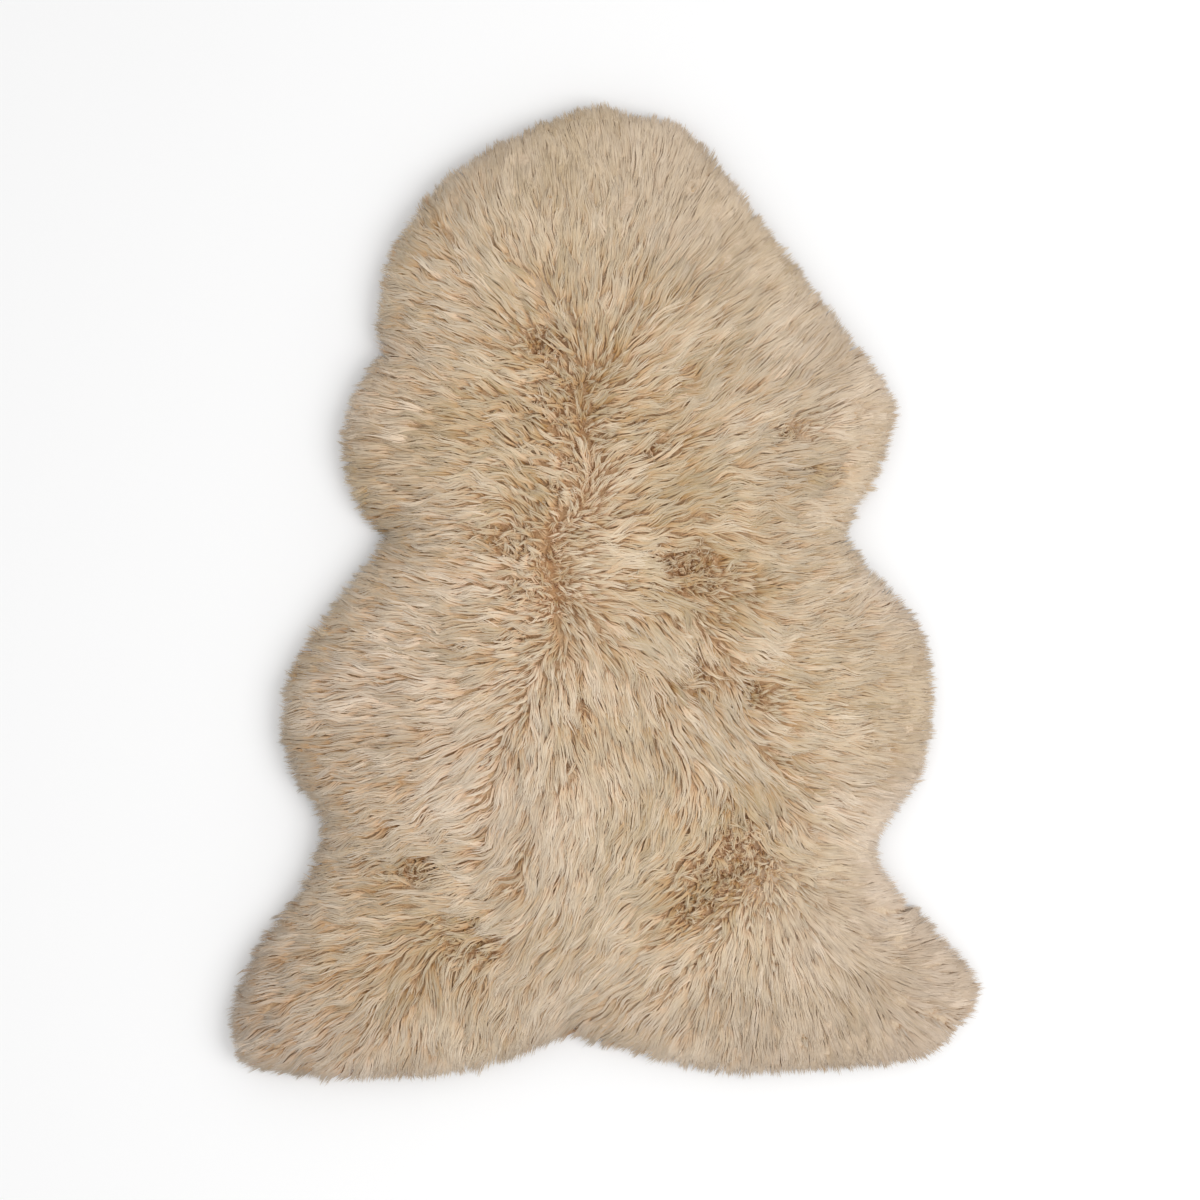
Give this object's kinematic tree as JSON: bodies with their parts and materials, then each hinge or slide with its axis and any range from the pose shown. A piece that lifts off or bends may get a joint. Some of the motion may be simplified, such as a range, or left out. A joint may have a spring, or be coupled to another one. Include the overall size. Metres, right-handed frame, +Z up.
{
  "type": "sheepskin rug",
  "caption": "Whole sheepskin rug lying flat: one tanned skin in its natural outline of neck, legs, waist and rump, with long combed beige wool.",
  "frame": {"origin": "middle of the rug's box, at the floor that it lies on", "axes": "+Y from the rump to the neck, +X to the right seen from above with the neck away, +Z up out of the wool"},
  "size_m": [0.7276, 0.9462, 0.0513],
  "materials": {
    "wool": "long soft sheep's wool, beige with a creamy tip and a browner root, no gloss",
    "hide": "suede side of a tanned skin, matt"
  },
  "bodies": {
    "root": {"sheepskin": "wool"}
  },
  "joints": []
}
